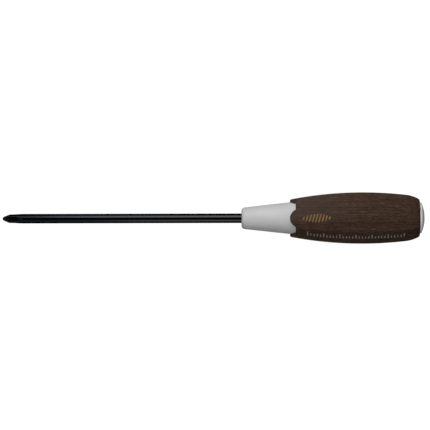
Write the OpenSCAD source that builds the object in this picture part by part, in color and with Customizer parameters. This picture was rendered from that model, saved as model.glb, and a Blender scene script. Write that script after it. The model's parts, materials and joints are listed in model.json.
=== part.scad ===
// Cross-head screwdriver with a round blade and a wooden grip on a moulded core.
// Lengths run along the tool as stations, counted from the end of its point.
// The tool lies along X with its point towards -X, and one of the grip's flats is underneath.

/* [Blade] */
// Diameter of the round blade
blade_d = 6; // [5:0.1:7]
// Length of blade that shows ahead of the ferrule
blade_reach = 150; // [75:1:250]

/* [Point] */
// Diameter of the point's blunt end
end_d = 2.3; // [1.8:0.05:2.8]
// Angle of the blunt end's low cone, from flat
end_angle = 28; // [10:1:35]
// Angle of the wing edges to the tool's axis
flank_angle = 26.5; // [22:0.5:32]
// Thickness of each wing at the blunt end
wing_t = 1; // [0.7:0.05:1.3]
// Angle between the two walls of a flute
flute_angle = 92; // [90:0.5:98]
// Angle of the shallow V along the root of a flute
root_angle = 140; // [120:1:160]
// Width of that shallow V
root_w = 0.3; // [0.1:0.05:0.5]
// Slope of a flute's root to the tool's axis
flute_slope = 5.75; // [4:0.25:7]
// Length of a flute before it starts to run out
flute_straight = 7; // [5:0.5:10]
// Radius of the curve on which a flute runs out
runout_r = 20; // [12:1:30]
// Turn of the point about the blade
point_turn = 48; // [0:1:89]

/* [Tang] */
// Height of the shoulder where the blade steps down to the tang
tang_shoulder = 0.2; // [0.1:0.05:0.5]
// Chamfer on the end of the tang
tang_chamfer = 0.8; // [0.2:0.1:1.5]
// Thickness of the tang across a pair of keying notches
notch_t = 3.6; // [2.6:0.1:4]
// Length of a notch along the tang
notch_l = 8; // [4:0.5:10]
// Number of notch pairs, each a quarter turn from the one before
notch_pairs = 3; // [1:1:4]
// Spacing of the notch pairs along the tang
notch_pitch = 14; // [12:1:18]
// Plain length of tang behind the last notch pair
notch_tail = 6; // [3:0.5:12]

/* [Ferrule and core] */
// Length of the ferrule from its front face to the shoulder that the grip seats on
ferrule_l = 33.9; // [28:0.1:42]
// Diameter that the ferrule's taper would have at its front face
ferrule_face_d = 13.2; // [12:0.1:15]
// Taper of the ferrule, as an angle to the tool's axis
ferrule_taper = 6.3; // [4:0.1:7.5]
// Rounding of the ferrule's front edge
ferrule_edge_r = 2.2; // [0.5:0.1:3]
// Diameter of the core that runs through the grip
core_d = 15; // [13:0.1:17]
// Number of key ribs along the core
rib_count = 4; // [3:1:8]
// Width of a key rib
rib_w = 4; // [2:0.1:5]
// Height of a key rib above the core
rib_h = 1.5; // [0.8:0.1:2]
// Resin left between the end of the tang and the cap's socket
tang_cover = 11; // [4:0.5:16]

/* [Grip] */
// Length of the grip behind the ferrule's shoulder
grip_l = 77.4; // [70:0.1:84]
// Distance from the ferrule's shoulder to the fullest part of the grip
grip_full = 41.6; // [34:0.2:46]
// Width across the wide flats at the fullest part
grip_flats = 32; // [29:0.2:36]
// Width across the corner facets at the fullest part
grip_corners = 34.5; // [31:0.1:39]
// Wood over the ferrule's shoulder at the wide flats
flat_wall = 2; // [1.5:0.1:3]
// Wood over the ferrule's shoulder at the corner facets
corner_wall = 2.6; // [1.8:0.1:3.6]
// Length of the tighter curve that draws the grip in towards its rear face
grip_bend_l = 8.7; // [5:0.1:14]
// Radius of that curve
grip_bend_r = 20; // [14:0.5:40]
// Rounding of the grip's rear edge
grip_edge_r = 2.5; // [0.8:0.1:3]
// Length of the tongues that reach forward over the ferrule
tongue_l = 3.6; // [2:0.1:5]
// Radius of the round end of a tongue
tongue_r = 5.9; // [5:0.1:7.5]

/* [Cap] */
// Overlap of the cap's rim beyond the core's ribs
cap_lip = 0.65; // [0.3:0.05:1.2]
// Depth that the cap is let into the grip's rear face
cap_rebate = 1.2; // [0.8:0.1:2]
// Height of the cap's straight rim above the grip's rear face
cap_rim = 1.1; // [0.3:0.1:2]
// Height of the cap's dome above its rim
cap_dome = 2.05; // [1:0.05:4]
// Length of the plug that centres the cap in the grip
plug_l = 4; // [2:0.1:8]
// Diameter of the spigot that holds the cap in the core
spigot_d = 9; // [7:0.1:10]
// Number of barbs along the spigot
barb_count = 4; // [2:1:6]
// Length of one barb
barb_l = 3.5; // [2:0.1:4]
// Height of a barb
barb_h = 0.4; // [0.2:0.05:0.8]
// Length of the straight land at the rear of a barb
barb_land = 0.9; // [0.4:0.1:1.5]

/* [Fits] */
// Gap between the tang and the resin moulded round it
mould_gap = 0.02; // [0:0.01:0.05]
// Gap between the grip and the core, all round
grip_gap = 0.05; // [0.02:0.01:0.2]
// Gap between the cap and what it is pressed into, all round
cap_gap = 0.03; // [0.01:0.01:0.1]
// Room left at the ends of the cap's plug and spigot
end_gap = 0.3; // [0.1:0.1:0.8]

/* [Hidden] */
$fn = 120;

// Steps of the long curves along the grip
arc_steps = 720;
// Length by which one shape runs into another or past a face that it cuts
over = 1;

// Radii of the round pieces
blade_r = blade_d / 2;
end_r = end_d / 2;
tang_r = blade_r - tang_shoulder;
core_r = core_d / 2;
cap_r = core_r + rib_h + cap_lip;
spigot_r = spigot_d / 2;

// Stations where the blunt end and the wing edges stop
end_s = end_r * tan(end_angle);
flank_s = end_s + (blade_r - end_r) / tan(flank_angle);

// Stations along the handle
shoulder_s = blade_reach + ferrule_l;
tongue_s = shoulder_s - tongue_l;
full_s = shoulder_s + grip_full;
rear_s = shoulder_s + grip_l;
bend_s = rear_s - grip_bend_l;
edge_s = rear_s - grip_edge_r;
rebate_s = rear_s - cap_rebate;
plug_s = rebate_s - plug_l;
core_end_s = plug_s - end_gap;
spigot_l = barb_count * barb_l;
spigot_s = plug_s - spigot_l;
socket_s = spigot_s - end_gap;
tang_end_s = socket_s - tang_cover;
tool_l = rear_s + cap_rim + cap_dome;

// Radius of the ferrule's taper at its shoulder
shoulder_r = ferrule_r(shoulder_s);

// Half of a flute's section: where the flute's walls would meet, where the shallow V starts, and its root
wall_u = (end_r + wing_t / 2) / sqrt(2) - (end_r - wing_t / 2) / sqrt(2) / tan(flute_angle / 2);
vee_u = wall_u + root_w / 2 / tan(flute_angle / 2);
root_u = vee_u - root_w / 2 / tan(root_angle / 2);
flute_u = root_u + blade_d;
flute_v = (flute_u - wall_u) * tan(flute_angle / 2);

// Sweep of the run-out, long enough to leave the blade
runout_sweep = acos(1 - blade_r / runout_r);

// Size of the blocks that the grip's shapes are cut from, and of the pieces cut off its rear corners
block_w = 2 * grip_corners;
cut_w = 2 * grip_bend_r;

// Radius of the ferrule's taper at a station
function ferrule_r(s) = ferrule_face_d / 2 + (s - blade_reach) * tan(ferrule_taper);

// Radius of an arc that rises from one height to another over a length and is level at its end
function rise_r(low, high, run) = (run * run + (high - low) * (high - low)) / (2 * (high - low));

// Lay a shape drawn along +Z on the tool's axis
module on_axis() {
    translate([-tool_l / 2, 0, grip_flats / 2])
        rotate([0, 90, 0])
            children();
}

// Section of a flute, with its depth along X from the tool's axis
module flute_section() {
    polygon([
        [root_u, 0],
        [vee_u, root_w / 2],
        [flute_u, flute_v],
        [flute_u, -flute_v],
        [vee_u, -root_w / 2]
    ]);
}

// One flute of the point: a sloping groove that runs out on a curve
module flute() {
    rotate([0, flute_slope, 0]) {
        translate([0, 0, -over])
            linear_extrude(flute_straight + over)
                flute_section();
        translate([root_u + runout_r, 0, flute_straight])
            rotate([90, 0, 180])
                rotate_extrude(angle = runout_sweep)
                    translate([root_u + runout_r, 0])
                        mirror([1, 0])
                            flute_section();
    }
}

// The notched tang inside the resin, grown by a gap
module tang(gap) {
    r = tang_r + gap;
    end = tang_end_s + gap;
    difference() {
        rotate_extrude()
            polygon([
                [0, blade_reach - over],
                [r, blade_reach - over],
                [r, end - tang_chamfer],
                [r - tang_chamfer, end],
                [0, end]
            ]);
        for (i = [0 : notch_pairs - 1])
            translate([0, 0, tang_end_s - notch_tail - notch_l / 2 - i * notch_pitch])
                for (side = [0, 180])
                    rotate(90 * i + side)
                        translate([notch_t / 2 + gap, -blade_r, gap - notch_l / 2])
                            cube([blade_r, blade_d, notch_l - 2 * gap]);
    }
}

// Round steel bar with a cross point in front and a notched tang behind
module blade() {
    color("#15181b")
        on_axis() {
            difference() {
                rotate_extrude()
                    polygon([
                        [0, 0],
                        [end_r, end_s],
                        [blade_r, flank_s],
                        [blade_r, blade_reach],
                        [0, blade_reach]
                    ]);
                for (i = [0 : 3])
                    rotate(point_turn + 45 + 90 * i)
                        flute();
            }
            tang(0);
        }
}

// Half outline of the ferrule: a tapered body with a rounded front edge
module ferrule_outline() {
    round_s = blade_reach + ferrule_edge_r;
    round_x = ferrule_r(round_s) - ferrule_edge_r / cos(ferrule_taper);
    polygon([
        [0, blade_reach],
        [round_x, blade_reach],
        [round_x + ferrule_edge_r * cos(ferrule_taper), round_s - ferrule_edge_r * sin(ferrule_taper)],
        [shoulder_r, shoulder_s],
        [0, shoulder_s]
    ]);
    translate([round_x, round_s])
        circle(ferrule_edge_r);
}

// The ribbed core that keys the grip, grown by a gap, between two stations
module core_bar(from, to, gap) {
    translate([0, 0, from])
        cylinder(r = core_r + gap, h = to - from);
    for (i = [0 : rib_count - 1])
        rotate(45 + 360 / rib_count * i)
            translate([0, -rib_w / 2 - gap, from])
                cube([core_r + rib_h + gap, rib_w + 2 * gap, to - from]);
}

// One resin moulding: the ferrule that shows, and the core inside the grip
module ferrule_core() {
    color("#b4b4b6")
        on_axis()
            difference() {
                union() {
                    rotate_extrude()
                        ferrule_outline();
                    core_bar(shoulder_s - over, core_end_s, 0);
                }
                tang(mould_gap);
                translate([0, 0, socket_s])
                    cylinder(r = spigot_r + cap_gap, h = core_end_s - socket_s + over);
            }
}

// Piece cut off the grip's side view outside a circle, from the angle lean round to the rear
module rear_cut(x, s, r, lean) {
    translate([x, s])
        difference() {
            polygon([
                [0, 0],
                [cut_w * cos(lean), cut_w * sin(lean)],
                [cut_w, cut_w],
                [0, cut_w]
            ]);
            circle(r, $fn = arc_steps);
        }
}

// Side view of the grip between two opposite faces, each a long shallow arc that bends in at the rear
module barrel_view(across, wall) {
    arc_r = rise_r(shoulder_r + wall, across / 2, grip_full);
    arc_x = across / 2 - arc_r;
    lean = asin((bend_s - full_s) / arc_r);
    bend_x = arc_x + (arc_r - grip_bend_r) * cos(lean);
    bend_mid_s = full_s + (arc_r - grip_bend_r) * sin(lean);
    edge_lean = asin((edge_s - bend_mid_s) / (grip_bend_r - grip_edge_r));
    edge_x = bend_x + (grip_bend_r - grip_edge_r) * cos(edge_lean);
    difference() {
        intersection() {
            intersection_for (side = [0, 1])
                mirror([side, 0])
                    translate([arc_x, full_s])
                        circle(arc_r, $fn = arc_steps);
            translate([-across, tongue_s])
                square([2 * across, rear_s - tongue_s]);
        }
        for (side = [0, 1])
            mirror([side, 0]) {
                rear_cut(bend_x, bend_mid_s, grip_bend_r, lean);
                rear_cut(edge_x, edge_s, grip_edge_r, edge_lean);
            }
    }
}

// Solid with that side view, square to it
module barrel_block(across, wall) {
    rotate([90, 0, 0])
        linear_extrude(block_w, center = true)
            barrel_view(across, wall);
}

// Front of the grip: a flat end with four round tongues that stand ahead of it
module scalloped_front() {
    translate([-block_w / 2, -block_w / 2, shoulder_s])
        cube([block_w, block_w, grip_l + over]);
    for (turn = [0, 90])
        rotate(turn)
            translate([0, 0, tongue_s + tongue_r])
                rotate([90, 0, 0])
                    cylinder(r = tongue_r, h = block_w, center = true);
}

// Eight-sided barrel of wood, bored for the core
module wood_grip() {
    color("#41322a")
        on_axis()
            difference() {
                intersection() {
                    barrel_block(grip_flats, flat_wall);
                    rotate(90)
                        barrel_block(grip_flats, flat_wall);
                    rotate(45)
                        barrel_block(grip_corners, corner_wall);
                    rotate(135)
                        barrel_block(grip_corners, corner_wall);
                    scalloped_front();
                }
                translate([0, 0, tongue_s - over])
                    cylinder(
                        r1 = ferrule_r(tongue_s - over) + grip_gap,
                        r2 = shoulder_r + grip_gap,
                        h = tongue_l + over
                    );
                core_bar(shoulder_s - over, rear_s + over, grip_gap);
                translate([0, 0, rebate_s])
                    cylinder(r = cap_r + cap_gap, h = cap_rebate + over);
            }
}

// Half outline of the cap: a barbed spigot, a plug, and a rim under a shallow dome
module cap_outline() {
    dome_r = (cap_r * cap_r + cap_dome * cap_dome) / (2 * cap_dome);
    plug_r = core_r + grip_gap - cap_gap;
    for (i = [0 : barb_count - 1])
        translate([0, spigot_s + i * barb_l])
            polygon([
                [0, 0],
                [spigot_r - barb_h, 0],
                [spigot_r, barb_l - barb_land],
                [spigot_r, barb_l],
                [0, barb_l]
            ]);
    translate([0, plug_s])
        square([plug_r, plug_l + over]);
    translate([0, rebate_s])
        square([cap_r, cap_rebate + cap_rim]);
    intersection() {
        translate([0, tool_l - dome_r])
            circle(dome_r, $fn = arc_steps);
        translate([0, tool_l - cap_dome - cap_rim])
            square([cap_r, cap_dome + cap_rim]);
    }
}

// Domed resin cap that closes the rear of the grip
module butt_cap() {
    color("#a6a7a8")
        on_axis()
            rotate_extrude()
                cap_outline();
}

blade();
ferrule_core();
wood_grip();
butt_cap();
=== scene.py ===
import json
import math
from collections import namedtuple

import bmesh
import bpy
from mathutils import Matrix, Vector


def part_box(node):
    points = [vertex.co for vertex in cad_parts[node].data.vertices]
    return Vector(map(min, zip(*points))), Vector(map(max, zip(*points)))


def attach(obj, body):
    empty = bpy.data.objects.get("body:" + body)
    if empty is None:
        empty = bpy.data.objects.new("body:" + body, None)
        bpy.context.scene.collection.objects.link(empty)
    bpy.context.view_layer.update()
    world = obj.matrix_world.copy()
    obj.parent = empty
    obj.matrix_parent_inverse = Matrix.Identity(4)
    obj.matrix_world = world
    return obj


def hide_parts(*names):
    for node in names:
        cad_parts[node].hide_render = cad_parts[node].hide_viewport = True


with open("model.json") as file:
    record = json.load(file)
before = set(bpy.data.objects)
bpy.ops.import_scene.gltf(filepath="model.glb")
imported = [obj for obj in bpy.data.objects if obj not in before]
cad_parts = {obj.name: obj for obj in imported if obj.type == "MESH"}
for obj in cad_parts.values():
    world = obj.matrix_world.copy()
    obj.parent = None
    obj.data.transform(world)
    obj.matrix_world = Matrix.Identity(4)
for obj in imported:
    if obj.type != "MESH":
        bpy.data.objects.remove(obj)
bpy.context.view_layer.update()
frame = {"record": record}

MM = 0.001

# Places along the tool, read from the solids
TIP_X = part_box("blade")[0].x
TANG_END_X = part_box("blade")[1].x
FERRULE_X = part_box("ferrule_core")[0].x
CORE_END_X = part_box("ferrule_core")[1].x
TONGUE_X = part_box("wood_grip")[0].x
REAR_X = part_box("wood_grip")[1].x
SPIGOT_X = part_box("butt_cap")[0].x
CAP_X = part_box("butt_cap")[1].x


def half_height(node):
    """Half of a node's height."""
    low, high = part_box(node)
    return (high.z - low.z) / 2


AXIS_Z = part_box("wood_grip")[0].z + half_height("wood_grip")

# Blade and its cross point
SHANK_MOUNT = frame["record"]["mounts"][0]
BLADE_R = SHANK_MOUNT["dims"]["r_mm"] * MM
TANG_R = BLADE_R - 0.2 * MM
TANG_CHAMFER = 0.8 * MM
END_R = 1.15 * MM
END_ANGLE = math.radians(28)
FLANK_ANGLE = math.radians(26.5)
WING_COUNT = 4
WING_T = 1.0 * MM
WING_CHAMFER = 0.06 * MM
CHAMFER_SHARE = 0.25
FLUTE_HALF = math.radians(46)
FLUTE_SLOPE = math.radians(5.75)
FLUTE_STRAIGHT = 7.0 * MM
FLUTE_END = 16.0 * MM
RUNOUT_R = 20.0 * MM
ROOT_HALF = math.radians(70)
ROOT_W = 0.3 * MM
POINT_TURN = math.radians(48)
POINT_BLEND = 0.12 * MM
END_LENGTH = END_R * math.tan(END_ANGLE)
FLANK_END = END_LENGTH + (BLADE_R - END_R) / math.tan(FLANK_ANGLE)
FLANK_BLEND_END = FLANK_END + 0.4 * MM

# Ferrule and core
SHOULDER_R = half_height("ferrule_core")
TONGUE_L = 3.6 * MM
SHOULDER_X = TONGUE_X + TONGUE_L
FERRULE_TAPER = math.radians(6.3)
FERRULE_EDGE_R = 2.2 * MM
CORE_R = 7.5 * MM
RIB_COUNT = 4
RIB_TURN = math.radians(45)
RIB_H = 1.5 * MM
RIB_W = 4.0 * MM
SPIGOT_R = 4.5 * MM
MOULD_GAP = 0.02 * MM
GRIP_GAP = 0.05 * MM
CAP_GAP = 0.03 * MM
END_GAP = 0.3 * MM

# Grip
FULL_X = SHOULDER_X + 41.6 * MM
FLAT_HALF = half_height("wood_grip")
FLAT_WALL = 2.0 * MM
CORNER_HALF = 17.25 * MM
CORNER_WALL = 2.6 * MM
BEND_X = REAR_X - 8.7 * MM
BEND_R = 20.0 * MM
GRIP_EDGE_R = 2.5 * MM
TONGUE_R = 5.9 * MM
TONGUE_ZONE_X = SHOULDER_X + 9.0 * MM
RIM_R = 0.95 * MM
FACET_POWER = 60
DIAGONAL = math.sqrt(0.5)

# Cap
CAP_R = half_height("butt_cap")
CAP_RIM = 1.1 * MM
CAP_REBATE = 1.2 * MM
CAP_DOME = CAP_X - REAR_X - CAP_RIM
CAP_EDGE_R = 0.7 * MM
PLUG_L = 4.0 * MM
BARB_COUNT = 4
BARB_H = 0.4 * MM
BARB_LAND = 0.9 * MM

# How finely the meshes are divided
ROUND_COLUMNS = 192
GRIP_COLUMNS = 384
WING_STEPS = 9
WALL_STEPS = 5
END_STEPS = 6
FLANK_STEPS = 22
FLUTE_STEPS = 40
BAR_STEPS = 24
FERRULE_EDGE_STEPS = 14
TAPER_STEPS = 12
CAP_EDGE_STEPS = 6
DOME_STEPS = 24
GRIP_EDGE_STEPS = 12
BEND_STEPS = 16
BARREL_STEPS = 40
TONGUE_STEPS = 22
RIM_STEPS = 6
MERGE_GAP = 0.002 * MM
THIN_EDGE = 0.001 * MM
SHARP_ANGLE = math.radians(32)

# Directions of a half outline, in degrees
TO_POINT = -90
OUTWARDS = 0
TO_CAP = 90


def rise_radius(low, high, run):
    """Radius of an arc that rises from low to high over run and is level at its end."""
    rise = high - low
    return (run * run + rise * rise) / (2 * rise)


FLAT_ARC = rise_radius(SHOULDER_R + FLAT_WALL, FLAT_HALF, FULL_X - SHOULDER_X)
CORNER_ARC = rise_radius(SHOULDER_R + CORNER_WALL, CORNER_HALF, FULL_X - SHOULDER_X)


# Meshes

def show(mesh, name):
    """Put a mesh in the scene as an object at the origin."""
    piece = bpy.data.objects.new(name, mesh)
    bpy.context.scene.collection.objects.link(piece)
    return piece


def finish_mesh(mesh):
    """Merge doubles, turn the faces outwards and shade the mesh with crisp edges."""
    work = bmesh.new()
    work.from_mesh(mesh)
    bmesh.ops.remove_doubles(work, verts=work.verts, dist=MERGE_GAP)
    bmesh.ops.dissolve_degenerate(work, edges=work.edges, dist=THIN_EDGE)
    bmesh.ops.recalc_face_normals(work, faces=work.faces)
    work.to_mesh(mesh)
    work.free()
    mesh.shade_smooth()
    mesh.set_sharp_from_angle(angle=SHARP_ANGLE)


def steps_between(low, high, count):
    """Evenly spaced values from low up to, but not with, high."""
    return [low + (high - low) * i / count for i in range(count)]


def arc(x, r, radius, start, end, steps):
    """Points of an arc in a half outline, between two directions in degrees."""
    points = []
    for i in range(steps + 1):
        turn = math.radians(start + (end - start) * i / steps)
        points.append((x + radius * math.sin(turn), r + radius * math.cos(turn)))
    return points


def grid_faces(rows, columns, closed):
    """Faces of a grid of points that goes round, and end to end too when closed."""
    faces = []
    for i in range(rows if closed else rows - 1):
        for j in range(columns):
            a = i * columns
            b = (i + 1) % rows * columns
            k = (j + 1) % columns
            faces.append((a + j, a + k, b + k, b + j))
    return faces


def on_rib(turn, radius):
    """Whether a turn about the axis falls on one of the core's ribs."""
    pitch = math.tau / RIB_COUNT
    off = (turn - RIB_TURN + pitch / 2) % pitch - pitch / 2
    return abs(radius * math.sin(off)) < RIB_W / 2


def lathe(name, outline):
    """A round piece from its half outline of (x, r) or, on the ribbed core, (x, r, rib height)."""
    points = []
    for x, r, *rib in outline:
        for j in range(ROUND_COLUMNS):
            turn = math.tau * j / ROUND_COLUMNS
            here = r + rib[0] if rib and on_rib(turn, r + rib[0]) else r
            points.append((x, here * math.sin(turn), AXIS_Z + here * math.cos(turn)))
    mesh = bpy.data.meshes.new(name)
    mesh.from_pydata(points, [], grid_faces(len(outline), ROUND_COLUMNS, False))
    finish_mesh(mesh)
    return show(mesh, name)


# Blade

def smooth_least(a, b):
    """The lesser of two lengths, with the corner between them rounded a little."""
    share = max(POINT_BLEND - abs(a - b), 0) / POINT_BLEND
    return min(a, b) - share * share * POINT_BLEND / 4


def blade_radius(s):
    """Radius of the blade's outline at a distance from its end."""
    end = s / math.tan(END_ANGLE)
    flank = END_R + (s - END_LENGTH) * math.tan(FLANK_ANGLE)
    return smooth_least(smooth_least(end, flank), BLADE_R)


def flute_shift(s):
    """How far a flute's section has moved out at a distance from the blade's end."""
    past = min(max(s - FLUTE_STRAIGHT, 0), RUNOUT_R)
    return s * math.tan(FLUTE_SLOPE) + RUNOUT_R - math.sqrt(RUNOUT_R ** 2 - past ** 2)


def line_meets_circle(start, slope, radius):
    """Where the line v = (u - start) * slope leaves a circle about the axis."""
    square = 1 + slope * slope
    part = slope * slope * start
    u = (part + math.sqrt(part * part - square * (part * start - radius * radius))) / square
    return u, (u - start) * slope


def flute_half(radius, shift):
    """Half of a flute's section: its outer edge, the start of its shallow root, and the root."""
    reach = (END_R - WING_T / 2) / math.sqrt(2)
    wall = (END_R + WING_T / 2) / math.sqrt(2) - reach / math.tan(FLUTE_HALF) + shift
    vee = wall + ROOT_W / 2 / math.tan(FLUTE_HALF)
    root = vee - ROOT_W / 2 / math.tan(ROOT_HALF)
    if root >= radius:
        return (radius, 0), (radius, 0), (radius, 0)
    if math.hypot(vee, ROOT_W / 2) < radius:
        edge = line_meets_circle(wall, math.tan(FLUTE_HALF), radius)
        return edge, (vee, ROOT_W / 2), (root, 0)
    edge = line_meets_circle(root, math.tan(ROOT_HALF), radius)
    return edge, edge, (root, 0)


def point_quarter(radius, shift):
    """Section of the point from one wing's middle to the next, about the flute between them."""
    edge, vee, root = flute_half(radius, shift)
    wall = math.dist(edge, vee)
    chamfer = min(WING_CHAMFER, wall * CHAMFER_SHARE)
    middle_turn = math.pi / WING_COUNT
    edge_turn = math.atan2(edge[1], edge[0]) + chamfer / max(radius, WING_CHAMFER)
    half = []
    for i in range(WING_STEPS):
        turn = middle_turn + (edge_turn - middle_turn) * i / (WING_STEPS - 1)
        half.append((radius * math.cos(turn), radius * math.sin(turn)))
    start = chamfer / wall if wall > 0 else 0
    for i in range(WALL_STEPS + 1):
        share = start + (1 - start) * i / WALL_STEPS
        half.append((edge[0] + (vee[0] - edge[0]) * share, edge[1] + (vee[1] - edge[1]) * share))
    mirrored = [(u, -v) for u, v in half]
    return mirrored + [root] + list(reversed(half[1:]))


def blade_ring(s):
    """Points round the blade at a distance from its end."""
    ring = []
    quarter = point_quarter(blade_radius(s), flute_shift(s))
    for wing in range(WING_COUNT):
        turn = POINT_TURN + math.pi / WING_COUNT + wing * math.tau / WING_COUNT
        for u, v in quarter:
            down = u * math.cos(turn) - v * math.sin(turn)
            side = u * math.sin(turn) + v * math.cos(turn)
            ring.append((TIP_X + s, side, AXIS_Z - down))
    return ring


def make_blade():
    """Round steel bar with a cross point, and its tang inside the handle.

    The first ring is so small that its points merge into the middle of the end.
    """
    stations = steps_between(MERGE_GAP, END_LENGTH, END_STEPS)
    stations += steps_between(END_LENGTH, FLANK_BLEND_END, FLANK_STEPS)
    stations += steps_between(FLANK_BLEND_END, FLUTE_END, FLUTE_STEPS)
    stations += steps_between(FLUTE_END, FERRULE_X - TIP_X, BAR_STEPS)
    rings = [blade_ring(s) for s in stations]
    plain = [(y / BLADE_R, (z - AXIS_Z) / BLADE_R) for _, y, z in rings[-1]]
    tang = [
        (FERRULE_X, BLADE_R),
        (FERRULE_X, TANG_R),
        (TANG_END_X - TANG_CHAMFER, TANG_R),
        (TANG_END_X, TANG_R - TANG_CHAMFER),
        (TANG_END_X, 0),
    ]
    rings += [[(x, y * r, AXIS_Z + z * r) for y, z in plain] for x, r in tang]
    points = [point for ring in rings for point in ring]
    mesh = bpy.data.meshes.new("blade_bar")
    mesh.from_pydata(points, [], grid_faces(len(rings), len(plain), False))
    finish_mesh(mesh)
    return show(mesh, "blade_bar")


# Ferrule and cap

def ferrule_radius(x):
    """Radius of the ferrule's taper at a place along the tool."""
    return SHOULDER_R - (SHOULDER_X - x) * math.tan(FERRULE_TAPER)


def make_ferrule():
    """Resin ferrule with the ribbed core behind it, the tang's hole and the cap's socket."""
    edge_x = FERRULE_X + FERRULE_EDGE_R
    edge_r = ferrule_radius(edge_x) - FERRULE_EDGE_R / math.cos(FERRULE_TAPER)
    edge_end = -math.degrees(FERRULE_TAPER)
    hole_r = TANG_R + MOULD_GAP
    socket_r = SPIGOT_R + CAP_GAP
    outline = [(TANG_END_X, 0), (TANG_END_X, hole_r), (FERRULE_X, hole_r)]
    outline += arc(edge_x, edge_r, FERRULE_EDGE_R, TO_POINT, edge_end, FERRULE_EDGE_STEPS)
    outline += [(x, ferrule_radius(x)) for x in steps_between(edge_x, SHOULDER_X, TAPER_STEPS)]
    outline += [(SHOULDER_X, SHOULDER_R), (SHOULDER_X, CORE_R, RIB_H)]
    outline += [(CORE_END_X, CORE_R, RIB_H), (CORE_END_X, socket_r)]
    outline += [(SPIGOT_X - END_GAP, socket_r), (SPIGOT_X - END_GAP, 0)]
    return lathe("ferrule_body", outline)


def make_cap():
    """Domed cap with its rim, plug and barbed spigot."""
    rebate_x = REAR_X - CAP_REBATE
    plug_x = rebate_x - PLUG_L
    plug_r = CORE_R + GRIP_GAP - CAP_GAP
    barb_l = (plug_x - SPIGOT_X) / BARB_COUNT
    outline = [(SPIGOT_X, 0)]
    for i in range(BARB_COUNT):
        x = SPIGOT_X + i * barb_l
        outline += [(x, SPIGOT_R - BARB_H), (x + barb_l - BARB_LAND, SPIGOT_R), (x + barb_l, SPIGOT_R)]
    outline += [(plug_x, plug_r), (rebate_x, plug_r), (rebate_x, CAP_R)]
    dome_r = (CAP_R * CAP_R + CAP_DOME * CAP_DOME) / (2 * CAP_DOME)
    dome_x = CAP_X - dome_r
    edge_r = CAP_R - CAP_EDGE_R
    edge_x = dome_x + math.sqrt((dome_r - CAP_EDGE_R) ** 2 - edge_r ** 2)
    lean = math.degrees(math.atan2(edge_x - dome_x, edge_r))
    outline += arc(edge_x, edge_r, CAP_EDGE_R, OUTWARDS, lean, CAP_EDGE_STEPS)
    outline += arc(dome_x, 0, dome_r, lean, TO_CAP, DOME_STEPS)[1:]
    return lathe("cap_dome", outline)


# Node trees

class Field:
    """A number in a node tree that takes plain arithmetic."""

    def __init__(self, tree, socket):
        self.tree = tree
        self.socket = socket

    def apply(self, operation, *values):
        node = self.tree.nodes.new("ShaderNodeMath")
        node.operation = operation
        for entry, value in zip(node.inputs, values):
            if isinstance(value, Field):
                self.tree.links.new(value.socket, entry)
            else:
                entry.default_value = value
        return Field(self.tree, node.outputs[0])

    def __add__(self, other):
        return self.apply("ADD", self, other)

    def __sub__(self, other):
        return self.apply("SUBTRACT", self, other)

    def __rsub__(self, other):
        return self.apply("SUBTRACT", other, self)

    def __mul__(self, other):
        return self.apply("MULTIPLY", self, other)

    def __truediv__(self, other):
        return self.apply("DIVIDE", self, other)

    def __rtruediv__(self, other):
        return self.apply("DIVIDE", other, self)

    def __pow__(self, other):
        return self.apply("POWER", self, other)

    def __mod__(self, other):
        return self.apply("MODULO", self, other)

    def __abs__(self):
        return self.apply("ABSOLUTE", self)

    def root(self):
        return self.apply("SQRT", self)

    def sine(self):
        return self.apply("SINE", self)

    def cosine(self):
        return self.apply("COSINE", self)

    def least(self, other):
        return self.apply("MINIMUM", self, other)

    def most(self, other):
        return self.apply("MAXIMUM", self, other)

    def below(self, other):
        return self.apply("LESS_THAN", self, other)

    def blend(self, other, share):
        return self + (other - self) * share


def joined(tree, kind, source, entry=0):
    """A new node with a socket wired into it."""
    node = tree.nodes.new(kind)
    tree.links.new(source, node.inputs[entry])
    return node


def parts(tree, vector):
    """The X, Y and Z of a vector, as three fields."""
    split = joined(tree, "ShaderNodeSeparateXYZ", vector)
    return [Field(tree, split.outputs[axis]) for axis in "XYZ"]


def vector_of(tree, **fields):
    """A vector from the fields given for its X, Y and Z; one that is left out stays 0."""
    vector = tree.nodes.new("ShaderNodeCombineXYZ")
    for axis, field in fields.items():
        tree.links.new(field.socket, vector.inputs[axis])
    return vector.outputs[0]


def new_tree(name, sizes):
    """A geometry node tree, the geometry that comes in, and one named input for each size."""
    tree = bpy.data.node_groups.new(name, "GeometryNodeTree")
    tree.interface.new_socket("Geometry", in_out="INPUT", socket_type="NodeSocketGeometry")
    tree.interface.new_socket("Geometry", in_out="OUTPUT", socket_type="NodeSocketGeometry")
    for size in sizes:
        tree.interface.new_socket(size, in_out="INPUT", socket_type="NodeSocketFloat")
    entry = tree.nodes.new("NodeGroupInput")
    return tree, entry.outputs["Geometry"], {size: Field(tree, entry.outputs[size]) for size in sizes}


def attribute(tree, name):
    """A number that each point carries."""
    node = tree.nodes.new("GeometryNodeInputNamedAttribute")
    node.data_type = "FLOAT"
    node.inputs["Name"].default_value = name
    return Field(tree, node.outputs["Attribute"])


def point_place(tree):
    """Where each point is now, as three fields."""
    return parts(tree, tree.nodes.new("GeometryNodeInputPosition").outputs[0])


def move_points(tree, source, x, y, z):
    """Move every point to the place worked out for it."""
    moved = joined(tree, "GeometryNodeSetPosition", source)
    tree.links.new(vector_of(tree, X=x, Y=y, Z=z), moved.inputs["Position"])
    return moved.outputs[0]


def end_tree(tree, source, material):
    """Realise what the tree made, give it its material and send it out."""
    real = joined(tree, "GeometryNodeRealizeInstances", source)
    painted = joined(tree, "GeometryNodeSetMaterial", real.outputs[0])
    painted.inputs["Material"].default_value = material
    joined(tree, "NodeGroupOutput", painted.outputs[0])


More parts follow.
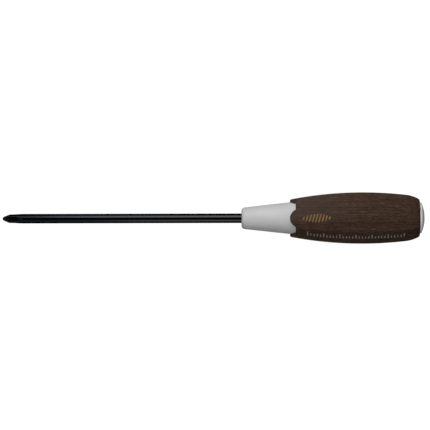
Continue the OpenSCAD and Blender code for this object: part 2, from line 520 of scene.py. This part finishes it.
def run_tree(piece, tree, sizes):
    """Run a tree on a piece with its sizes set, and keep the result as the piece's own mesh."""
    modifier = piece.modifiers.new("Shape", "NODES")
    modifier.node_group = tree
    for item in tree.interface.items_tree:
        if item.in_out == "INPUT" and item.name in sizes:
            modifier[item.identifier] = sizes[item.name]
    bpy.context.view_layer.update()
    made = bpy.data.meshes.new_from_object(
        piece.evaluated_get(bpy.context.evaluated_depsgraph_get())
    )
    piece.modifiers.remove(modifier)
    made.name = piece.name
    piece.data = made
    finish_mesh(made)
    return piece


# Grip

GRIP_SIZES = {
    "Axis height": AXIS_Z,
    "Fullest place": FULL_X,
    "Flat half width": FLAT_HALF,
    "Flat arc": FLAT_ARC,
    "Corner half width": CORNER_HALF,
    "Corner arc": CORNER_ARC,
    "Facet power": FACET_POWER,
    "Tongue radius": TONGUE_R,
    "Tongue length": TONGUE_L,
    "Ferrule slope": math.tan(FERRULE_TAPER),
}

# A row of points round the grip: its place, its inset from the eight faces, its radius where it is
# round, how round it is, how far it follows the tongues forward, and whether the ribs groove it.
Row = namedtuple("Row", "x inset round_r roundness tongue grooved", defaults=(0, 0, 0, 0, False))


def flat_height(x):
    """Distance of the wide flats from the axis."""
    return FLAT_HALF - FLAT_ARC + math.sqrt(FLAT_ARC ** 2 - (x - FULL_X) ** 2)


def rear_outline():
    """Half outline of the grip's rear, from its face over the rounded edge and the bend."""
    lean = math.asin((BEND_X - FULL_X) / FLAT_ARC)
    bend_x = FULL_X + (FLAT_ARC - BEND_R) * math.sin(lean)
    bend_r = FLAT_HALF - FLAT_ARC + (FLAT_ARC - BEND_R) * math.cos(lean)
    edge_x = REAR_X - GRIP_EDGE_R
    edge_lean = math.asin((edge_x - bend_x) / (BEND_R - GRIP_EDGE_R))
    edge_r = bend_r + (BEND_R - GRIP_EDGE_R) * math.cos(edge_lean)
    outline = arc(edge_x, edge_r, GRIP_EDGE_R, TO_CAP, math.degrees(edge_lean), GRIP_EDGE_STEPS)
    outline += arc(bend_x, bend_r, BEND_R, math.degrees(edge_lean), math.degrees(lean), BEND_STEPS)[1:]
    return outline


def grip_rows():
    """Rows of the grip, from the cap's rebate forward along the outside and back through the bore."""
    rim_x = SHOULDER_X + RIM_R
    rebate_x = REAR_X - CAP_REBATE
    rebate_r = CAP_R + CAP_GAP
    mouth_r = SHOULDER_R + GRIP_GAP
    bore_r = CORE_R + GRIP_GAP
    rows = [Row(REAR_X, round_r=rebate_r, roundness=1)]
    rows += [Row(x, inset=flat_height(x) - r) for x, r in rear_outline()]
    rows += [Row(x) for x in steps_between(BEND_X, TONGUE_ZONE_X, BARREL_STEPS)[1:]]
    for x in steps_between(TONGUE_ZONE_X, rim_x, TONGUE_STEPS):
        rows.append(Row(x, tongue=(TONGUE_ZONE_X - x) / (TONGUE_ZONE_X - rim_x)))
    for i in range(RIM_STEPS + 1):
        turn = math.pi / 2 * i / RIM_STEPS
        x = SHOULDER_X + RIM_R * (1 - math.sin(turn))
        rows.append(Row(x, inset=RIM_R * (1 - math.cos(turn)), tongue=1))
    for i in range(RIM_STEPS):
        rows.append(Row(SHOULDER_X, RIM_R, mouth_r, roundness=(i + 1) / RIM_STEPS, tongue=1))
    rows.append(Row(SHOULDER_X, round_r=mouth_r, roundness=1))
    rows.append(Row(SHOULDER_X, round_r=bore_r, roundness=1, grooved=True))
    rows.append(Row(rebate_x, round_r=bore_r, roundness=1, grooved=True))
    rows.append(Row(rebate_x, round_r=rebate_r, roundness=1))
    return rows


def grip_stock(rows):
    """A plain tube of points for the grip, which carries each point's place as attributes."""
    points = []
    data = {"turn": [], "inset": [], "round_r": [], "roundness": [], "tongue": []}
    for row in rows:
        for j in range(GRIP_COLUMNS):
            turn = math.tau * j / GRIP_COLUMNS
            groove = RIB_H if row.grooved and on_rib(turn, CORE_R + RIB_H) else 0
            points.append((row.x, math.sin(turn), math.cos(turn)))
            data["turn"].append(turn)
            data["inset"].append(row.inset)
            data["round_r"].append(row.round_r + groove)
            data["roundness"].append(row.roundness)
            data["tongue"].append(row.tongue)
    mesh = bpy.data.meshes.new("grip_barrel")
    mesh.from_pydata(points, [], grid_faces(len(rows), GRIP_COLUMNS, True))
    for name, values in data.items():
        mesh.attributes.new(name, "FLOAT", "POINT").data.foreach_set("value", values)
    return show(mesh, "grip_barrel")


def barrel_height(size, kind, x):
    """Distance of the grip's flats or corner facets from the axis, in nodes."""
    off = x - size["Fullest place"]
    bow = size[kind + " arc"]
    return size[kind + " half width"] - bow + (bow * bow - off * off).root()


def eight_sided(size, x, sine, cosine):
    """Distance from the axis to the eight-sided barrel with softened edges, in nodes."""
    flat = barrel_height(size, "Flat", x)
    ratio = flat / barrel_height(size, "Corner", x) * DIAGONAL
    power = size["Facet power"]
    total = abs(cosine) ** power + abs(sine) ** power
    total = total + (abs(cosine + sine) * ratio) ** power + (abs(cosine - sine) * ratio) ** power
    return flat / total ** (1 / power)


def grip_tree(material):
    """Rule that turns the plain tube into the eight-sided barrel with four tongues."""
    tree, tube, size = new_tree("Grip barrel", GRIP_SIZES)
    start_x = point_place(tree)[0]
    turn = attribute(tree, "turn")
    sine = turn.sine()
    cosine = turn.cosine()
    inset = attribute(tree, "inset")
    round_r = attribute(tree, "round_r")
    roundness = attribute(tree, "roundness")
    tongue = attribute(tree, "tongue")

    face_r = eight_sided(size, start_x, sine, cosine) - inset
    start_r = face_r.blend(round_r, roundness)
    aside = start_r * abs(sine).least(abs(cosine))
    tongue_r = size["Tongue radius"]
    bulge = (tongue_r * tongue_r - aside * aside).most(0).root()
    forward = (bulge - tongue_r + size["Tongue length"]).most(0) * tongue
    x = start_x - forward

    face_r = eight_sided(size, x, sine, cosine) - inset
    bore_r = round_r - forward * size["Ferrule slope"]
    radius = face_r.blend(bore_r, roundness)
    shaped = move_points(tree, tube, x, radius * sine, radius * cosine + size["Axis height"])
    end_tree(tree, shaped, material)
    return tree


def make_grip(material):
    """Wooden grip, shaped by its rule from a plain tube."""
    return run_tree(grip_stock(grip_rows()), grip_tree(material), GRIP_SIZES)


# Printed marks on the grip

GOLD_COUNT = 9
GOLD_SIZES = {
    "Axis height": AXIS_Z,
    "Fullest place": FULL_X,
    "Flat half width": FLAT_HALF,
    "Flat arc": FLAT_ARC,
    "First place": SHOULDER_X + 5.0 * MM,
    "Pitch": 2.0 * MM,
    "Stroke width": 0.75 * MM,
    "Stroke least": 2.0 * MM,
    "Stroke rise": 3.2 * MM,
    "Lean": 0.3,
    "Ink": 0.03 * MM,
}
TICK_COUNT = 31
TICK_GROUP = 5
TICK_SIZES = {
    "Axis height": AXIS_Z,
    "Fullest place": FULL_X,
    "Corner half width": CORNER_HALF,
    "Corner arc": CORNER_ARC,
    "First place": SHOULDER_X + 7.3 * MM,
    "Pitch": 2.0 * MM,
    "Tick width": 0.6 * MM,
    "Short tick": 2.0 * MM,
    "Long tick": 3.3 * MM,
    "Base line": -0.9 * MM,
    "Ink": 0.03 * MM,
}
BAR_FOOT = 0
BAR_MIDDLE = 0.5


def bar_number(tree):
    """The number of each bar in its row, from 0."""
    return Field(tree, tree.nodes.new("GeometryNodeInputIndex").outputs[0])


def bar_row(tree, size, count, width, height, seat):
    """A row of thin bars along X, each with its own height, seated by the foot or the middle."""
    row = tree.nodes.new("GeometryNodeMeshLine")
    row.inputs["Count"].default_value = count
    tree.links.new(vector_of(tree, X=size["Pitch"]), row.inputs["Offset"])
    bar = tree.nodes.new("GeometryNodeMeshCube")
    bar.inputs["Size"].default_value = (1, 1, 1)
    seated = joined(tree, "GeometryNodeTransform", bar.outputs["Mesh"])
    seated.inputs["Translation"].default_value = (0, BAR_MIDDLE - seat, 0)
    bars = joined(tree, "GeometryNodeInstanceOnPoints", row.outputs["Mesh"])
    tree.links.new(seated.outputs[0], bars.inputs["Instance"])
    tree.links.new(vector_of(tree, X=width, Y=height, Z=size["Ink"]), bars.inputs["Scale"])
    return joined(tree, "GeometryNodeRealizeInstances", bars.outputs[0]).outputs[0]


def gold_tree(material):
    """Row of leaning strokes, tallest in the middle, laid on the facing flat."""
    tree, _, size = new_tree("Gold strokes", GOLD_SIZES)
    swell = (bar_number(tree) * (math.pi / (GOLD_COUNT - 1))).sine()
    height = size["Stroke least"] + size["Stroke rise"] * swell
    bars = bar_row(tree, size, GOLD_COUNT, size["Stroke width"], height, BAR_MIDDLE)
    along, y, thick = point_place(tree)
    x = along + size["First place"] + y * size["Lean"]
    z = thick + size["Axis height"] + barrel_height(size, "Flat", x)
    end_tree(tree, move_points(tree, bars, x, y, z), material)
    return tree


def tick_tree(material):
    """Ruled scale on the lower corner facet: even ticks, the first of each group longer."""
    tree, _, size = new_tree("Scale ticks", TICK_SIZES)
    first = (bar_number(tree) % TICK_GROUP).below(1)
    height = size["Short tick"].blend(size["Long tick"], first)
    bars = bar_row(tree, size, TICK_COUNT, size["Tick width"], height, BAR_FOOT)
    along, across, thick = point_place(tree)
    x = along + size["First place"]
    up = (across + size["Base line"]) * DIAGONAL
    out = (thick + barrel_height(size, "Corner", x)) * DIAGONAL
    end_tree(tree, move_points(tree, bars, x, up - out, up + out + size["Axis height"]), material)
    return tree


def make_marks(name, tree, sizes):
    """A row of printed marks, made by its tree from nothing."""
    return run_tree(show(bpy.data.meshes.new(name), name), tree, sizes)


# Materials

NOISE_RANGE = (0.3, 0.7)


def new_material(name):
    """A node material with its tree and its main shader."""
    material = bpy.data.materials.new(name)
    material.use_nodes = True
    return material, material.node_tree, material.node_tree.nodes["Principled BSDF"]


def grain(tree, along, across, detail, roughness, shift=(0, 0, 0)):
    """Noise in the piece's own coordinates, so long along the tool and so wide across it."""
    coords = tree.nodes.new("ShaderNodeTexCoord")
    mapping = joined(tree, "ShaderNodeMapping", coords.outputs["Object"])
    mapping.inputs["Location"].default_value = shift
    mapping.inputs["Scale"].default_value = (1 / along, 1 / across, 1 / across)
    node = joined(tree, "ShaderNodeTexNoise", mapping.outputs[0], "Vector")
    node.inputs["Scale"].default_value = 1
    node.inputs["Detail"].default_value = detail
    node.inputs["Roughness"].default_value = roughness
    return Field(tree, node.outputs[0])


def own_place(tree):
    """Place along the tool, across it and up from its axis, as three fields."""
    coords = tree.nodes.new("ShaderNodeTexCoord")
    along, across, height = parts(tree, coords.outputs["Object"])
    return along, across, height - AXIS_Z


def spread(tree, field, source, target):
    """Bring one range of a field onto another, and hold it at the ends."""
    node = joined(tree, "ShaderNodeMapRange", field.socket)
    node.inputs["From Min"].default_value = source[0]
    node.inputs["From Max"].default_value = source[1]
    node.inputs["To Min"].default_value = target[0]
    node.inputs["To Max"].default_value = target[1]
    return Field(tree, node.outputs[0])


def weighed(fields, weights, start=0):
    """Sum of named fields, each by its weight."""
    total = start
    for name, weight in weights.items():
        total = fields[name] * weight + total
    return total


def tones(tree, field, stops):
    """Colours along a field."""
    node = joined(tree, "ShaderNodeValToRGB", field.socket)
    ramp = node.color_ramp
    while len(ramp.elements) < len(stops):
        ramp.elements.new(1)
    for element, (at, colour) in zip(ramp.elements, stops):
        element.position = at
        element.color = (*colour, 1)
    return node.outputs["Color"]


def mixed(tree, share, colour, other):
    """A colour with a share of another plain one in it."""
    node = tree.nodes.new("ShaderNodeMix")
    node.data_type = "RGBA"
    tree.links.new(share.socket, node.inputs["Factor"])
    tree.links.new(colour, node.inputs["A"])
    node.inputs["B"].default_value = (*other, 1)
    return node.outputs["Result"]


def raise_surface(tree, shader, field, depth, strength):
    """Fine relief on a surface."""
    node = joined(tree, "ShaderNodeBump", field.socket, "Height")
    node.inputs["Strength"].default_value = strength
    node.inputs["Distance"].default_value = depth
    tree.links.new(node.outputs[0], shader.inputs["Normal"])


RING_PITH = (FULL_X, -60 * MM, AXIS_Z + 14 * MM)
RING_WIDTH = 1.8 * MM
RING_STRETCH = 14
RING_SCALE = math.tau / 20
RING_WANDER = 2.5
RING_DETAIL = 3
RING_DETAIL_SCALE = 0.6


def growth_rings(tree):
    """Growth rings about a pith beside the grip, drawn out along it."""
    coords = tree.nodes.new("ShaderNodeTexCoord")
    mapping = joined(tree, "ShaderNodeMapping", coords.outputs["Object"])
    mapping.vector_type = "TEXTURE"
    mapping.inputs["Location"].default_value = RING_PITH
    mapping.inputs["Scale"].default_value = (RING_WIDTH * RING_STRETCH, RING_WIDTH, RING_WIDTH)
    node = joined(tree, "ShaderNodeTexWave", mapping.outputs[0], "Vector")
    node.wave_type = "RINGS"
    node.rings_direction = "X"
    node.wave_profile = "SIN"
    node.inputs["Scale"].default_value = RING_SCALE
    node.inputs["Distortion"].default_value = RING_WANDER
    node.inputs["Detail"].default_value = RING_DETAIL
    node.inputs["Detail Scale"].default_value = RING_DETAIL_SCALE
    return Field(tree, node.outputs["Fac"])


WOOD_BAND = {"along": 60 * MM, "across": 5 * MM, "detail": 2, "roughness": 0.5, "shift": (9.2, 3.1, 6.4)}
WOOD_STREAK = {"along": 9 * MM, "across": 0.9 * MM, "detail": 4, "roughness": 0.6}
WOOD_FLECK = {"along": 2.4 * MM, "across": 0.6 * MM, "detail": 3, "roughness": 0.6, "shift": (5, 9, 4)}
WOOD_FIBRE = {"along": 4 * MM, "across": 0.16 * MM, "detail": 3, "roughness": 0.6, "shift": (3, 7, 1)}
WOOD_PORE = {"along": 2.2 * MM, "across": 0.24 * MM, "detail": 1, "roughness": 0.5, "shift": (11, 2, 5)}
PORE_RANGE = (0.58, 0.64)
BAND_MIDDLE = 0.5
BAND_SWAY = 1.5 * MM
# Painted light and shade across the grip: its upper side lighter, its lower side darker.
PAINTED_SIDE_SHADE_RANGE = (0.2 * MM, 1.4 * MM)
LAYER_Y = -3.4 * MM
LAYER_RANGE = (0.4 * MM, 2.0 * MM)
# Darker over the last few millimetres before the rear: painted shade on the rear bend and edge, and the
# darker end grain of the rear face.
END_GRAIN_AND_SHADE_L = 4 * MM
WOOD_START = -0.166
WOOD_WEIGHTS = {
    "ring": 0.06,
    "band": 0.14,
    "streak": 0.42,
    "fleck": 0.62,
    "fibre": 0.15,
    "pore": -0.16,
    # painted light and shade: upper side lighter, lower side darker
    "side": 0.022,
    "layer": -0.055,
    "length": 0.06,
    # painted shade at the rear bend and edge, and darker end grain on the rear face
    "end grain and rear shade": -0.06,
}
WOOD_TONES = [
    (0.34, (0.0242, 0.0132, 0.0083)),
    (0.46, (0.0412, 0.0234, 0.0153)),
    (0.56, (0.0560, 0.0328, 0.0218)),
    (0.68, (0.0850, 0.0529, 0.0365)),
]
# Painted sheen: a greyer, lighter tone mixed over the front of the grip on its upper side.
SHEEN_L = 48 * MM
SHEEN_SHARE = 0.45
SHEEN_RANGE = (-4 * MM, 1 * MM)
SHEEN_COLOUR = (0.075, 0.056, 0.046)
WOOD_ROUGHNESS = (0.72, 0.6)
WOOD_GLOSS = 0.03
WOOD_RELIEF_WEIGHTS = {"fibre": 0.5, "streak": 0.3, "pore": -1}
WOOD_RELIEF = 0.05 * MM
WOOD_RELIEF_STRENGTH = 0.5


def dark_wood():
    """Oiled dark hardwood: rings, streaks and fibres along the grip, short open pores, and painted light,
    shade and sheen.
    """
    material, tree, shader = new_material("dark_wood")
    along, across, _ = own_place(tree)
    band = grain(tree, **WOOD_BAND)
    side = across + (band - BAND_MIDDLE) * BAND_SWAY
    figure = {
        "ring": growth_rings(tree),
        "band": band,
        "streak": grain(tree, **WOOD_STREAK),
        "fleck": grain(tree, **WOOD_FLECK),
        "fibre": grain(tree, **WOOD_FIBRE),
        "pore": spread(tree, grain(tree, **WOOD_PORE), PORE_RANGE, (0, 1)),
        # painted light and shade: upper side lighter, lower side darker
        "side": spread(tree, side, PAINTED_SIDE_SHADE_RANGE, (-1, 1)),
        "layer": spread(tree, abs(side - LAYER_Y), LAYER_RANGE, (1, 0)),
        "length": (FULL_X - along) / (REAR_X - SHOULDER_X),
        # painted shade at the rear bend and edge, and darker end grain on the rear face
        "end grain and rear shade": spread(tree, along, (REAR_X - END_GRAIN_AND_SHADE_L, REAR_X), (0, 1)),
    }
    colour = tones(tree, weighed(figure, WOOD_WEIGHTS, WOOD_START), WOOD_TONES)
    # Painted sheen: a greyer, lighter tone over the front of the grip, on its upper side.
    painted_sheen = spread(tree, along, (SHOULDER_X, SHOULDER_X + SHEEN_L), (SHEEN_SHARE, 0))
    painted_sheen = painted_sheen * spread(tree, side, SHEEN_RANGE, (0, 1))
    tree.links.new(mixed(tree, painted_sheen, colour, SHEEN_COLOUR), shader.inputs["Base Color"])
    roughness = spread(tree, figure["fibre"], NOISE_RANGE, WOOD_ROUGHNESS)
    tree.links.new(roughness.socket, shader.inputs["Roughness"])
    shader.inputs["Specular IOR Level"].default_value = WOOD_GLOSS
    relief = weighed(figure, WOOD_RELIEF_WEIGHTS)
    raise_surface(tree, shader, relief, WOOD_RELIEF, WOOD_RELIEF_STRENGTH)
    return material


RESIN_CLOUD = {"along": 9 * MM, "across": 5 * MM, "detail": 3, "roughness": 0.6}
RESIN_GRAIN = {"along": 0.22 * MM, "across": 0.22 * MM, "detail": 2, "roughness": 0.5}
RESIN_ROUGHNESS = (0.45, 0.55)
RESIN_GLOSS = 0.3
RESIN_RELIEF = 0.012 * MM
RESIN_RELIEF_STRENGTH = 0.35
GREY_DARK = (0.541, 0.541, 0.547)
GREY_LIGHT = (0.573, 0.573, 0.580)
# Painted light: the cap's resin is lighter than the ferrule's grey to make up for the weak light that
# reaches the cap.
CAP_DARK = (0.650, 0.650, 0.657)
CAP_LIGHT = (0.695, 0.695, 0.702)


def resin(name, dark, light):
    """Satin moulded resin: a faint cloud in the colour and a fine spark-eroded grain."""
    material, tree, shader = new_material(name)
    cloud = grain(tree, **RESIN_CLOUD)
    texture = grain(tree, **RESIN_GRAIN)
    colour = tones(tree, cloud, list(zip(NOISE_RANGE, (dark, light))))
    tree.links.new(colour, shader.inputs["Base Color"])
    roughness = spread(tree, texture, NOISE_RANGE, RESIN_ROUGHNESS)
    tree.links.new(roughness.socket, shader.inputs["Roughness"])
    shader.inputs["Specular IOR Level"].default_value = RESIN_GLOSS
    raise_surface(tree, shader, texture, RESIN_RELIEF, RESIN_RELIEF_STRENGTH)
    return material


STEEL_LINE = {"along": 45 * MM, "across": 0.09 * MM, "detail": 3, "roughness": 0.6}
STEEL_CLOUD = {"along": 6 * MM, "across": 2 * MM, "detail": 4, "roughness": 0.6}
WORN_L = 14 * MM
WORN_WEIGHTS = {"near": 0.7, "cloud": 0.5}
WORN_RANGE = (0.62, 1.0)
STEEL_WEIGHTS = {"cloud": 0.25, "line": 0.25, "worn": 0.5}
STEEL_TONES = [
    (0.15, (0.0006, 0.0007, 0.0009)),
    (0.45, (0.0014, 0.0016, 0.0020)),
    (0.95, (0.0220, 0.0235, 0.0260)),
]
MILLED_RANGE = (BLADE_R - 0.3 * MM, BLADE_R - 0.06 * MM)
DRAWN_ROUGHNESS = (0.13, 0.20)
MILLED_ROUGHNESS = 0.34
DRAWN_GLOSS = 0.24
MILLED_GLOSS = 0.08
STEEL_COOL = (0.60, 0.75, 0.95)
STEEL_PLAIN = (0.95, 0.91, 0.91)
COOL_PLACES = (TIP_X + 23 * MM, TIP_X + 129 * MM)
STEEL_RELIEF = 0.006 * MM
STEEL_RELIEF_STRENGTH = 0.3


def black_steel():
    """Blackened steel, bluer towards the point, with drawn lines, duller flutes and a little wear."""
    material, tree, shader = new_material("black_steel")
    along, across, up = own_place(tree)
    line = grain(tree, **STEEL_LINE)
    cloud = grain(tree, **STEEL_CLOUD)
    near = spread(tree, along, (TIP_X, TIP_X + WORN_L), (1, 0))
    worn = spread(tree, weighed({"near": near, "cloud": cloud}, WORN_WEIGHTS), WORN_RANGE, (0, 1))
    tone = weighed({"cloud": cloud, "line": line, "worn": worn}, STEEL_WEIGHTS)
    tree.links.new(tones(tree, tone, STEEL_TONES), shader.inputs["Base Color"])
    radius = (across * across + up * up).root()
    milled = spread(tree, radius, MILLED_RANGE, (1, 0))
    drawn = spread(tree, line, NOISE_RANGE, DRAWN_ROUGHNESS)
    tree.links.new(drawn.blend(MILLED_ROUGHNESS, milled).socket, shader.inputs["Roughness"])
    gloss = spread(tree, milled, (0, 1), (DRAWN_GLOSS, MILLED_GLOSS))
    tree.links.new(gloss.socket, shader.inputs["Specular IOR Level"])
    cast = tones(tree, spread(tree, along, COOL_PLACES, (0, 1)), [(0, STEEL_COOL), (1, STEEL_PLAIN)])
    tree.links.new(cast, shader.inputs["Specular Tint"])
    raise_surface(tree, shader, line, STEEL_RELIEF, STEEL_RELIEF_STRENGTH)
    return material


INK_GRAIN = {"along": 1.2 * MM, "across": 0.3 * MM, "detail": 3, "roughness": 0.6}
INK_RANGE = (0.32, 0.58)
INK_ROUGHNESS = (0.6, 0.4)
GOLD_THIN = (0.10, 0.053, 0.015)
GOLD_FULL = (0.29, 0.155, 0.036)
GOLD_METAL = 0.2
TICK_THIN = (0.09, 0.086, 0.083)
TICK_FULL = (0.24, 0.235, 0.23)
TICK_METAL = 0.0


def ink(name, thin, full, metal):
    """Stamped ink, thinner in places where the grain took less."""
    material, tree, shader = new_material(name)
    cover = grain(tree, **INK_GRAIN)
    colour = tones(tree, cover, list(zip(INK_RANGE, (thin, full))))
    tree.links.new(colour, shader.inputs["Base Color"])
    roughness = spread(tree, cover, NOISE_RANGE, INK_ROUGHNESS)
    tree.links.new(roughness.socket, shader.inputs["Roughness"])
    shader.inputs["Metallic"].default_value = metal
    return material


# Stage, lights and camera

WHITE = (1, 1, 1, 1)
FLOOR_HALF = 8.0
FLOOR_CLOUD = {"along": 0.6, "across": 0.6, "detail": 2, "roughness": 0.5}
FLOOR_DARK = (0.045, 0.045, 0.045)
FLOOR_LIGHT = (0.055, 0.055, 0.055)
FLOOR_ROUGHNESS = 0.9
FLOOR_GLOW = (0.35, 0.985)
SHADE_REACH = (1 * MM, 6 * MM)
SHADE_RUN = 20 * MM


def resting_slope():
    """Slope of a floor that touches the grip's belly and the blade's point, and its place at the point."""
    touch_x = TIP_X + FLANK_END
    touch_z = AXIS_Z - BLADE_R
    run = FULL_X - touch_x
    rise = AXIS_Z - FLAT_HALF + FLAT_ARC - touch_z
    return math.asin(FLAT_ARC / math.hypot(run, rise)) - math.atan2(rise, run), touch_x, touch_z


def pale_floor():
    """Evenly bright floor with a painted contact shade close to what lies on it, wider under the grip."""
    material, tree, shader = new_material("pale_floor")
    cloud = grain(tree, **FLOOR_CLOUD)
    colour = tones(tree, cloud, list(zip(NOISE_RANGE, (FLOOR_DARK, FLOOR_LIGHT))))
    tree.links.new(colour, shader.inputs["Base Color"])
    shader.inputs["Roughness"].default_value = FLOOR_ROUGHNESS
    shader.inputs["Emission Color"].default_value = WHITE
    # Painted contact shadow: the floor's glow is dimmed where something lies close above it, with a longer
    # reach under the grip.
    contact = tree.nodes.new("ShaderNodeAmbientOcclusion")
    reach = spread(tree, own_place(tree)[0], (SHOULDER_X - SHADE_RUN, SHOULDER_X), SHADE_REACH)
    tree.links.new(reach.socket, contact.inputs["Distance"])
    glow = spread(tree, Field(tree, contact.outputs["AO"]), (0, 1), FLOOR_GLOW)
    tree.links.new(glow.socket, shader.inputs["Emission Strength"])
    return material


def make_floor():
    """Pale floor under the tool, at the slope on which it lies."""
    slope, touch_x, touch_z = resting_slope()
    points = []
    for x, y in ((-FLOOR_HALF, -FLOOR_HALF), (FLOOR_HALF, -FLOOR_HALF),
                 (FLOOR_HALF, FLOOR_HALF), (-FLOOR_HALF, FLOOR_HALF)):
        points.append((x, y, touch_z - math.tan(slope) * (x - touch_x)))
    mesh = bpy.data.meshes.new("floor")
    mesh.from_pydata(points, [], [(0, 1, 2, 3)])
    mesh.materials.append(pale_floor())
    floor = show(mesh, "floor")
    floor.visible_diffuse = False
    floor.visible_glossy = False


def aim(thing, target):
    """Turn a lamp or camera towards a point."""
    thing.rotation_euler = (Vector(target) - thing.location).to_track_quat("-Z", "Y").to_euler()


LAMP_DISTANCE = 0.5
KEY_LEAN = math.radians(46)
KEY_WIDTH = 0.415
KEY_ENDS = (-0.143, 0.22)
KEY_POWER = 2.56
FILL_LEAN = math.radians(-56)
FILL_WIDTH = 0.365
FILL_ENDS = (-0.085, 0.22)
FILL_POWER = 0.96
KEY_TAIL_ENDS = (-KEY_ENDS[1], KEY_ENDS[0])
KEY_TAIL_POWER = 0.095
FILL_TAIL_ENDS = (-FILL_ENDS[1], FILL_ENDS[0])
FILL_TAIL_POWER = 0.10
END_SIDES = {"point": -1, "cap": 1}
END_LAMP_PLACE = (0.8, 0.3)
END_LAMP_SIZE = (0.6, 0.6)
END_LAMP_POWER = 1.2
CARD_PLACE = (0.75, 0.28)
CARD_SIZE = (0.22, 0.25)
CARD_POWER = 1.0
WING_LAMP_ENDS = {"point": (-0.95, -0.42), "cap": (0.42, 0.95)}
KEY_WING_POWER = 3.4
FILL_WING_POWER = 2.0


def area_lamp(name, size, power, spot, target):
    """Soft lamp of a length and a width, aimed at a point."""
    lamp = bpy.data.lights.new(name, "AREA")
    lamp.shape = "RECTANGLE"
    lamp.size = size[0]
    lamp.size_y = size[1]
    lamp.energy = power
    box = bpy.data.objects.new(name, lamp)
    box.location = spot
    bpy.context.scene.collection.objects.link(box)
    aim(box, target)
    return box


def softbox(name, lean, width, ends, power):
    """Softbox along the tool between two places, leaning from overhead by an angle towards +Y."""
    x = (ends[0] + ends[1]) / 2
    spot = (x, LAMP_DISTANCE * math.sin(lean), AXIS_Z + LAMP_DISTANCE * math.cos(lean))
    return area_lamp(name, (ends[1] - ends[0], width), power, spot, (x, 0, AXIS_Z))


def end_lamp(name, side, reach, size, power):
    """Soft lamp beyond one end of the tool, so far out and so high up."""
    return area_lamp(name, size, power, (side * reach[0], 0, reach[1]), (0, 0, AXIS_Z))


def make_lights():
    """A softbox on the far side and a weaker one near, lamps at both ends, and a sky for the camera alone.

    Beyond each end one lamp gives soft light but no reflection. The softboxes' faint tails over the
    point, and the wings and the card beyond each end, do the opposite: they only show as reflections.
    """
    softbox("key_softbox", KEY_LEAN, KEY_WIDTH, KEY_ENDS, KEY_POWER)
    softbox("fill_softbox", FILL_LEAN, FILL_WIDTH, FILL_ENDS, FILL_POWER)
    key_tail = softbox("key_tail", KEY_LEAN, KEY_WIDTH, KEY_TAIL_ENDS, KEY_TAIL_POWER)
    fill_tail = softbox("fill_tail", FILL_LEAN, FILL_WIDTH, FILL_TAIL_ENDS, FILL_TAIL_POWER)
    for mirrored in (key_tail, fill_tail):
        mirrored.visible_diffuse = False
    for name, side in END_SIDES.items():
        ends = WING_LAMP_ENDS[name]
        key_wing = softbox(name + "_key_wing", KEY_LEAN, KEY_WIDTH, ends, KEY_WING_POWER)
        fill_wing = softbox(name + "_fill_wing", FILL_LEAN, FILL_WIDTH, ends, FILL_WING_POWER)
        lamp = end_lamp(name + "_lamp", side, END_LAMP_PLACE, END_LAMP_SIZE, END_LAMP_POWER)
        lamp.visible_glossy = False
        card = end_lamp(name + "_card", side, CARD_PLACE, CARD_SIZE, CARD_POWER)
        for mirrored in (key_wing, fill_wing, card):
            mirrored.visible_diffuse = False
    world = bpy.data.worlds.new("white_sky")
    bpy.context.scene.world = world
    world.use_nodes = True
    world.node_tree.nodes["Background"].inputs["Color"].default_value = WHITE
    world.cycles_visibility.diffuse = False
    world.cycles_visibility.glossy = False
    bpy.context.scene.view_settings.view_transform = "Standard"


LENS = 227.0
SENSOR = 36.0
CLIP_START = 0.01
FRAME_W = 269.30 * MM
LOOK_X = 1.17 * MM
LOOK_Y = 1.99 * MM
LEAN = math.radians(1.25)
ROLL = math.radians(-0.12)


def make_camera():
    """Camera nearly straight above, far enough off for the tool to fill the frame from side to side."""
    camera = bpy.data.cameras.new("camera")
    camera.lens = LENS
    camera.sensor_width = SENSOR
    camera.clip_start = CLIP_START
    view = bpy.data.objects.new("camera", camera)
    away = FRAME_W * LENS / SENSOR
    view.location = (LOOK_X + away * math.sin(LEAN), LOOK_Y, AXIS_Z + away * math.cos(LEAN))
    view.rotation_euler = (0, LEAN, ROLL)
    bpy.context.scene.collection.objects.link(view)
    bpy.context.scene.camera = view


# The finished pieces

def settle(piece, material, node):
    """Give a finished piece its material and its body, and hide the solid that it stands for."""
    if material:
        piece.data.materials.clear()
        piece.data.materials.append(material)
    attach(piece, "root")
    if node:
        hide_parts(node)


settle(make_blade(), black_steel(), "blade")
settle(make_ferrule(), resin("grey_resin", GREY_DARK, GREY_LIGHT), "ferrule_core")
settle(make_grip(dark_wood()), None, "wood_grip")
# The cap's lighter resin is painted light for the cap's weakly lit end.
settle(make_cap(), resin("cap_resin", CAP_DARK, CAP_LIGHT), "butt_cap")
gold_ink = ink("gold_ink", GOLD_THIN, GOLD_FULL, GOLD_METAL)
grey_ink = ink("grey_ink", TICK_THIN, TICK_FULL, TICK_METAL)
settle(make_marks("gold_strokes", gold_tree(gold_ink), GOLD_SIZES), None, None)
settle(make_marks("scale_ticks", tick_tree(grey_ink), TICK_SIZES), None, None)

make_floor()
make_lights()
make_camera()
